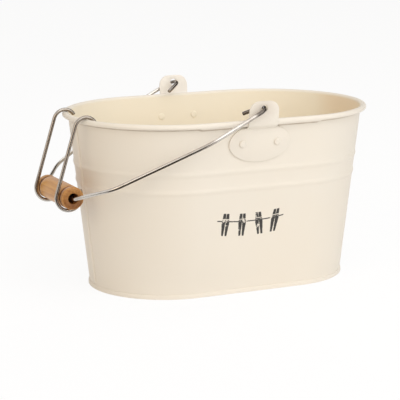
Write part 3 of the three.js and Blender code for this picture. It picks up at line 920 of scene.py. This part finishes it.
class PEGBUCKET_OT_ears(Operator):
    """Cut, fold and pierce the two ears"""

    bl_idname = "peg_bucket.ears"
    bl_label = "Ears"

    def execute(self, context):
        tub, shape = shapes()
        ear, lean = shape.sizes, tub.lean
        first = (shape.fold_level - ear.lobe_level) / cos(lean)
        second = first + (shape.step_level - shape.fold_level) / cos(ear.fold)
        above = (ear.tongue_top - shape.step_level) / cos(lean)
        plate = draw_line("front_ear_sheet", self.outline(ear, lean, second + above))
        whole()
        bpy.ops.mesh.edge_face_add()
        for level in (first, second):
            whole()
            bpy.ops.mesh.bisect(plane_co=(0, 0, level), plane_no=Z_AXIS)
        self.fold(plate, ear.fold - lean, first, second)
        leave_edit()
        plate.rotation_euler.x = lean
        plate.location = (0, -shape.lobe(ear.lobe_level), ear.lobe_level)
        settle(plate)
        thicken(plate, ear.sheet)
        self.pierce(plate, ear, shape)
        soften(plate, width=0.00022, segments=2)
        smooth(plate)
        finish_both(plate, "rear_ear_sheet", "paint", "front_ear", "rear_ear")
        return {"FINISHED"}

    def outline(self, ear, lean, top):
        """Flat outline of lobe and tongue, with heights measured along the sheet."""
        wide = ear.lobe_width / 2
        tall = ear.lobe_height / 2 / cos(lean)
        half = ear.tongue_width / 2
        shoulder = acos(half / wide)
        sweep = pi + 2 * shoulder
        steps, corner_steps = 56, 14
        lobe = [pi - shoulder + sweep * i / steps for i in range(steps + 1)]
        points = [Vector((wide * cos(t), 0, tall * sin(t))) for t in lobe]
        corner = ear.tongue_corner
        for x, start in [(half - corner, 0), (corner - half, pi / 2)]:
            for i in range(corner_steps + 1):
                t = start + pi / 2 * i / corner_steps
                points.append(Vector((x, 0, top - corner)) + polar(t, corner))
        return points

    def fold(self, plate, by, first, second):
        """Turns the sheet out over the roll and back up, and rounds both folds."""
        bend, on_line = 0.0016, 1e-5
        step = second - first
        out = Vector((0, -step * sin(by), first + step * cos(by)))
        pick(plate, "verts", lambda vertex: vertex.co.z > first + SAME_PLACE)
        bpy.ops.transform.rotate(value=-by, orient_axis="X", center_override=(0, 0, first))
        mesh = bmesh.from_edit_mesh(plate.data)
        if min(vertex.co.y for vertex in mesh.verts) > out.y / 2:
            raise RuntimeError("the ear's tongue is folded the wrong way")
        pick(plate, "verts", lambda vertex: vertex.co.y < out.y - SAME_PLACE)
        bpy.ops.transform.rotate(value=by, orient_axis="X", center_override=out)

        def on_fold(edge):
            lines = [Vector((0, 0, first)), out]
            return any(
                all(abs(v.co.y - line.y) + abs(v.co.z - line.z) < on_line for v in edge.verts)
                for line in lines
            )

        pick(plate, "edges", on_fold)
        bpy.ops.mesh.bevel(offset=min(bend, -out.y / 2), segments=4, affect="EDGES")

    def pierce(self, plate, ear, shape):
        deselect()
        bpy.ops.mesh.primitive_cylinder_add(
            vertices=40,
            radius=ear.eye / 2,
            depth=0.02,
            location=(0, -shape.tongue(ear.eye_level), ear.eye_level),
            rotation=(pi / 2, 0, 0),
        )
        punch = named("punch")
        settle(punch)
        modify(plate, "BOOLEAN", operation="DIFFERENCE", object=punch, solver="EXACT")
        bpy.data.objects.remove(punch)


class PEGBUCKET_OT_rivets(Operator):
    """Head the four rivets that hold the ears"""

    bl_idname = "peg_bucket.rivets"
    bl_label = "Rivets"

    def execute(self, context):
        tub, shape = shapes()
        ear, sheet = shape.sizes, tub.sizes.sheet
        head_gap = FIT_GAP * 0.4
        outer = sheet / 2 + FIT_GAP + ear.sheet + head_gap
        inner = sheet / 2 + head_gap
        half = ear.rivet_spacing / 2
        for x, end, far_end in [(-half, "left", "right"), (half, "right", "left")]:
            rivet = draw_line(f"front_{end}_rivet_heads", self.half_line(ear, outer, inner))
            whole()
            turn((0, 0, 0), Z_AXIS, 2 * pi, steps=28)
            done()
            rivet.rotation_euler.x = pi / 2 + tub.lean
            rivet.location = (x, -tub.wall(ear.lobe_level), ear.lobe_level)
            settle(rivet)
            smooth(rivet, limit=50)
            nodes = f"front_{end}_rivet", f"rear_{far_end}_rivet"
            finish_both(rivet, f"rear_{far_end}_rivet_heads", "wall", *nodes)
        return {"FINISHED"}

    def half_line(self, ear, outer, inner):
        """Profile from the top of the outer head down the shank to the inner one."""
        steps, full = 10, 0.75
        shank = ear.rivet_shank / 2
        turns = [pi / 2 * i / steps for i in range(steps + 1)]
        dome = [
            (ear.rivet_head / 2 * sin(t) ** full, ear.rivet_dome * max(0, cos(t)) ** full)
            for t in turns
        ]
        return [
            *[Vector((radius, 0, outer + rise)) for radius, rise in dome],
            Vector((shank, 0, outer)),
            Vector((shank, 0, -inner)),
            *[Vector((radius, 0, -inner - rise / 2)) for radius, rise in reversed(dome)],
        ]


class PEGBUCKET_OT_grip(Operator):
    """Turn the wooden grip on its bore"""

    bl_idname = "peg_bucket.grip"
    bl_label = "Grip"

    def execute(self, context):
        grip = context.scene.peg_bucket_grip
        hook = context.scene.peg_bucket_hook
        line = self.half_line(grip, hook)
        profile = [*line, *[(radius, -along) for radius, along in reversed(line)]]
        points = [GRIP + Vector((radius, along, 0)) for radius, along in profile]
        turned = draw_line("turned_grip", [*points, points[0]])
        merge()
        turn(GRIP, Y_AXIS, 2 * pi, steps=72)
        done()
        smooth(turned, limit=40)
        finish(turned, "grip", "wood", "wood", "grip")
        return {"FINISHED"}

    def half_line(self, grip, hook):
        """Profile from the middle of the bore to the middle of the outside."""
        end = grip.span / 2
        bore = grip.bore / 2
        body = grip.diameter / 2
        groove = end - grip.collar
        room, steep, lip, lip_depth = 0.0005, 2.2, 0.0005, 0.0001
        chamfer, chamfer_in, chamfer_up = 0.0008, 0.0002, 0.0003
        neck, swell, swell_half = 0.006, 0.0001, 0.008
        edge_steps, groove_steps = 6, 20
        wide = hook.wire / 2 + FIT_GAP + room
        turns = [radians(90 * i / edge_steps) for i in range(edge_steps + 1)]
        inner, back = body - grip.round, end - grip.round
        rounding = [
            (inner + grip.round * sin(t), back + grip.round * cos(t)) for t in turns
        ]
        shares = [2 * i / groove_steps - 1 for i in range(1, groove_steps)]
        hollow = [
            (body - grip.groove * ease(min(1, (1 - abs(share)) * steep)), groove - share * wide)
            for share in shares
        ]
        return [
            (bore, 0),
            (bore, end - chamfer),
            (bore + chamfer_up, end - chamfer_in),
            (bore + chamfer, end),
            *rounding,
            (body, groove + wide + lip),
            (body - lip_depth, groove + wide),
            *hollow,
            (body - lip_depth, groove - wide),
            (body, groove - wide - lip),
            (body, groove - wide - neck),
            (body + swell, swell_half),
        ]


class PEGBUCKET_OT_hooks(Operator):
    """Bend the two hooks from the grip's grooves to the rim"""

    bl_idname = "peg_bucket.hooks"
    bl_label = "Hooks"

    def execute(self, context):
        hook = context.scene.peg_bucket_hook
        grip = context.scene.peg_bucket_grip
        loose = grip.diameter / 2 - grip.groove + FIT_GAP + hook.wire / 2 + hook.slack
        offset = Vector((0, grip.span / 2 - grip.collar, 0))
        up = Vector((sin(hook.lean), 0, cos(hook.lean)))
        side = Vector((-up.z, 0, up.x))
        lower = GRIP - polar(hook.slack_side, hook.slack)
        upper = lower - side * (hook.bend - loose) + up * hook.span
        # The bend over the rim stays, and the lower bend opens and moves off
        loose += hook.wear
        lower += Vector((-hook.drift, 0, hook.drift / 2))
        reach = upper - lower
        spread = asin((loose - hook.bend) / reach.length)
        lean = atan2(reach.x, reach.z) + spread
        up = Vector((sin(lean), 0, cos(lean)))
        shank = pi - lean
        for node, shift in [("front_hook", -offset), ("rear_hook", offset)]:
            start = lower + shift + polar(hook.lower_end, loose)
            along = polar(hook.lower_end - pi / 2)
            wire = Wire(f"{node}_wire", hook.wire, start, along)
            wire.bend(lower + shift, Y_AXIS, hook.lower_end + 2 * pi - shank)
            wire.run(up * reach.length * cos(spread))
            wire.bend(upper + shift, Y_AXIS, shank - hook.tip)
            finish(wire.cut(), node, "steel", "hook", node)
        return {"FINISHED"}


class PEGBUCKET_OT_bail(Operator):
    """Bend the bail from the tail in one eye to the tail in the other"""

    bl_idname = "peg_bucket.bail"
    bl_label = "Bail"

    def execute(self, context):
        bail = context.scene.peg_bucket_bail
        grip = context.scene.peg_bucket_grip
        tub, shape = shapes()
        ear = shape.sizes
        arm = GRIP - PIVOT
        along = arm.normalized()
        across = -Y_AXIS
        normal = along.cross(across)
        half = shape.tongue(ear.tongue_top) + ear.sheet / 2 + bail.play + bail.wire / 2
        tail_half = tub.roll_radius - tub.sizes.roll - bail.tail_clear - bail.wire / 2
        bow = (half - tail_half) / 2
        slant = asin((shape.tongue(ear.eye_level) - half + bow) / bow)

        def at(forward, sideways):
            return PIVOT + along * forward + across * sideways

        def heading(turned):
            return along * cos(turned) + across * sin(turned)

        bow_middle = at(bow * cos(slant), half - bow)
        bow_start = radians(270) - bail.splay
        start = bow_middle + heading(bow_start) * bow + heading(-bail.splay) * bail.tail
        wire = Wire("bail_wire_bent", bail.wire, start, -heading(-bail.splay))
        wire.run(-heading(-bail.splay) * bail.tail)
        wire.bend(bow_middle, normal, radians(90) - bow_start)
        neck_run = bail.neck_bend * tan((pi / 2 - bail.shoulder) / 2)
        neck = at(arm.length, grip.span / 2 + FIT_GAP + neck_run)
        knee = neck + heading(pi - bail.shoulder) * bail.shoulder_run
        corners = [
            (at(bail.arm_straight, half), bail.arm_bend),
            (knee, bail.shoulder_bend),
            (neck, bail.neck_bend),
            (at(arm.length, 0), 0),
        ]
        for (corner, radius), (after, _) in zip(corners, corners[1:]):
            self.corner(wire, corner, after, radius, normal)
        wire.run(corners[-1][0] - wire.place)
        self.mirror(wire)
        finish(wire.cut(), "bail", "steel", "steel", "bail_wire")
        return {"FINISHED"}

    def corner(self, wire, corner, after, radius, normal):
        """Draws the wire on to a corner and bends it towards the next one."""
        before = (corner - wire.place).normalized()
        ahead = (after - corner).normalized()
        by = before.angle(ahead) * copysign(1, before.cross(ahead).dot(normal))
        wire.run(corner - before * radius * tan(abs(by) / 2) - wire.place)
        inward = normal.cross(before) * copysign(1, by)
        wire.bend(wire.place + inward * radius, normal, by, facet=3)

    def mirror(self, wire):
        """Opens the end at the grip's middle and mirrors the wire there."""
        bpy.ops.mesh.delete(type="ONLY_FACE")
        leave_edit()
        merging = {"use_mirror_merge": True, "merge_threshold": 1e-5}
        modify(wire.piece, "MIRROR", use_axis=(False, True, False), **merging)
        edit()


# Stage

FLOOR_SIZE = 8
FLOOR_GLOW = 1.02
SENSOR_WIDTH = 36
LAMP_TARGET = Vector((0, 0, 0.08))

# Name, place, size and power in watts
LAMPS = [
    ("key_lamp", (0.45, -1.7, 1.25), 2.3, 24.4),
    ("fill_lamp", (-1.7, -0.9, 1.0), 1.1, 6.6),
    ("top_lamp", (0.3, 0.2, 2.0), 1.6, 7.3),
]

# Name, place, turn in degrees, width and depth
FLAGS = [
    ("floor_flag", (-0.635, -0.68, 0.004), (0, 0, 0), 1.23, 1.2),
    ("front_flag", (-1.45, -2.0, 0.37), (90, 0, 0), 4.1, 0.74),
    ("back_flag", (0.9, 0.9, 1.2), (-40, 35, 0), 1.8, 1.4),
    ("right_flag", (1.0, 0, 0.6), (0, -80, 0), 1.2, 0.9),
]


class PEGBUCKET_OT_stage(Operator):
    """Set out the floor, the lamps, the background and the camera"""

    bl_idname = "peg_bucket.stage"
    bl_label = "Stage"

    def execute(self, context):
        stage = context.scene.peg_bucket_stage
        context.scene.view_settings.view_transform = "Standard"
        self.floor(stage)
        for flag in FLAGS:
            self.flag(stage, *flag)
        self.world(context.scene, stage)
        for lamp in LAMPS:
            self.lamp(*lamp)
        bpy.data.objects["fill_lamp"].data.color = stage.warm_lamp
        self.camera(context.scene, stage)
        return {"FINISHED"}

    def flag(self, stage, name, place, turned, wide, deep):
        """A dark card that only polished metal reflects, as flags beside a studio table."""
        rotation = [radians(part) for part in turned]
        deselect()
        bpy.ops.mesh.primitive_plane_add(size=1, location=place, rotation=rotation)
        card = named(name)
        card.scale = (wide, deep, 1)
        settle(card)
        dark = Recipe(f"{name}_cloth", roughness=1)
        card.data.materials.append(dark.set(base_color=rgba(stage.cloth)))
        card.visible_camera = card.visible_diffuse = False
        card.visible_shadow = card.visible_transmission = False

    def floor(self, stage):
        deselect()
        bpy.ops.mesh.primitive_plane_add(size=FLOOR_SIZE)
        floor = named("floor")
        pale = Recipe("pale_floor", roughness=0.9)
        pale.set(base_color=rgba(stage.floor))
        white = {"Color": (1, 1, 1, 1), "Strength": FLOOR_GLOW}
        glow = pale.add("ShaderNodeEmission", sockets=white)
        lit = Signal(pale, pale.shader.outputs[0])
        share = pale.seen() * stage.glow
        mix = pale.add("ShaderNodeMixShader", sockets={0: share, 1: lit, 2: glow})
        pale.feed(pale.tree.nodes["Material Output"].inputs["Surface"], mix)
        floor.data.materials.append(pale.material)

    def world(self, scene, stage):
        world = bpy.data.worlds.new("white_studio")
        scene.world = world
        nodes = Nodes(world)
        background = nodes.tree.nodes["Background"]
        seen = nodes.seen()
        nodes.feed(background.inputs["Color"], nodes.blend(seen, stage.ambient, (1, 1, 1)))
        nodes.feed(background.inputs["Strength"], seen * (1 - stage.daylight) + stage.daylight)

    def lamp(self, name, place, size, power):
        aim = (LAMP_TARGET - Vector(place)).to_track_quat("-Z", "Y").to_euler()
        deselect()
        bpy.ops.object.light_add(type="AREA", location=place, rotation=aim)
        lamp = named(name)
        lamp.data.size = size
        lamp.data.energy = power

    def camera(self, scene, stage):
        out = Vector((
            sin(stage.azimuth) * cos(stage.elevation),
            -cos(stage.azimuth) * cos(stage.elevation),
            sin(stage.elevation),
        ))
        place = Vector((0, 0, stage.target)) + out * stage.distance
        deselect()
        bpy.ops.object.camera_add(location=place, rotation=out.to_track_quat("Z", "Y").to_euler())
        camera = named("photo_camera")
        camera.data.sensor_width = SENSOR_WIDTH
        camera.data.lens = stage.focal
        camera.data.shift_x, camera.data.shift_y = stage.shift
        scene.camera = camera


OPERATORS = [
    PEGBUCKET_OT_walls,
    PEGBUCKET_OT_base,
    PEGBUCKET_OT_ears,
    PEGBUCKET_OT_rivets,
    PEGBUCKET_OT_grip,
    PEGBUCKET_OT_hooks,
    PEGBUCKET_OT_bail,
    PEGBUCKET_OT_stage,
]


class PEGBUCKET_PT_sidebar(Panel):
    bl_label = "Peg bucket"
    bl_space_type = "VIEW_3D"
    bl_region_type = "UI"
    bl_category = "Peg bucket"

    def draw(self, context):
        for operator in OPERATORS:
            self.layout.operator(operator.bl_idname)


CLASSES = [*SETTINGS.values(), *OPERATORS, PEGBUCKET_PT_sidebar]


def register():
    for item in CLASSES:
        bpy.utils.register_class(item)
    for name, settings in SETTINGS.items():
        setattr(bpy.types.Scene, name, PointerProperty(type=settings))


def unregister():
    for name in SETTINGS:
        delattr(bpy.types.Scene, name)
    for item in reversed(CLASSES):
        bpy.utils.unregister_class(item)


def main():
    register()
    for operator in OPERATORS:
        getattr(bpy.ops.peg_bucket, operator.bl_idname.split(".")[1])()


if __name__ == "__main__":
    main()
